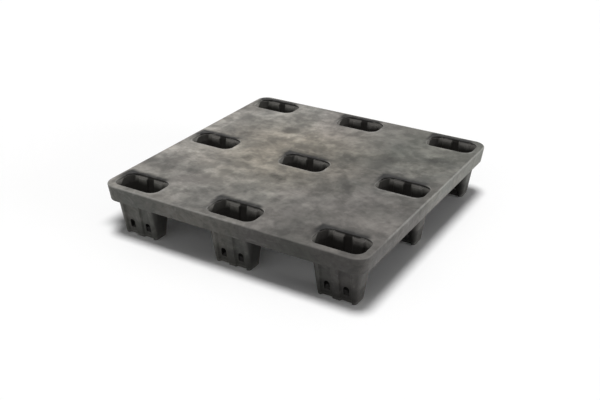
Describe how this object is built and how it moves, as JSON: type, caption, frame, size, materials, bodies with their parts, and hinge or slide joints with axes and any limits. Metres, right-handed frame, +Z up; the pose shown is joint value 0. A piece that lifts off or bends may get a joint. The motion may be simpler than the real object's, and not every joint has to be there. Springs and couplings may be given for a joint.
{
  "type": "nestable plastic pallet",
  "caption": "Square nestable plastic pallet with a closed deck, a short skirt and hollow tapered legs whose open tops take the legs of the pallet stacked above.",
  "frame": {"origin": "centre of the footprint, on the surface that the feet stand on", "axes": "+Z up out of the deck, +X along the long side of the leg pockets, +Y across them"},
  "size_m": [0.8, 0.8, 0.155],
  "materials": {
    "plastic": "dull grained recycled plastic, scuffed on the deck"
  },
  "bodies": {
    "root": {"pallet": "plastic"}
  },
  "joints": []
}
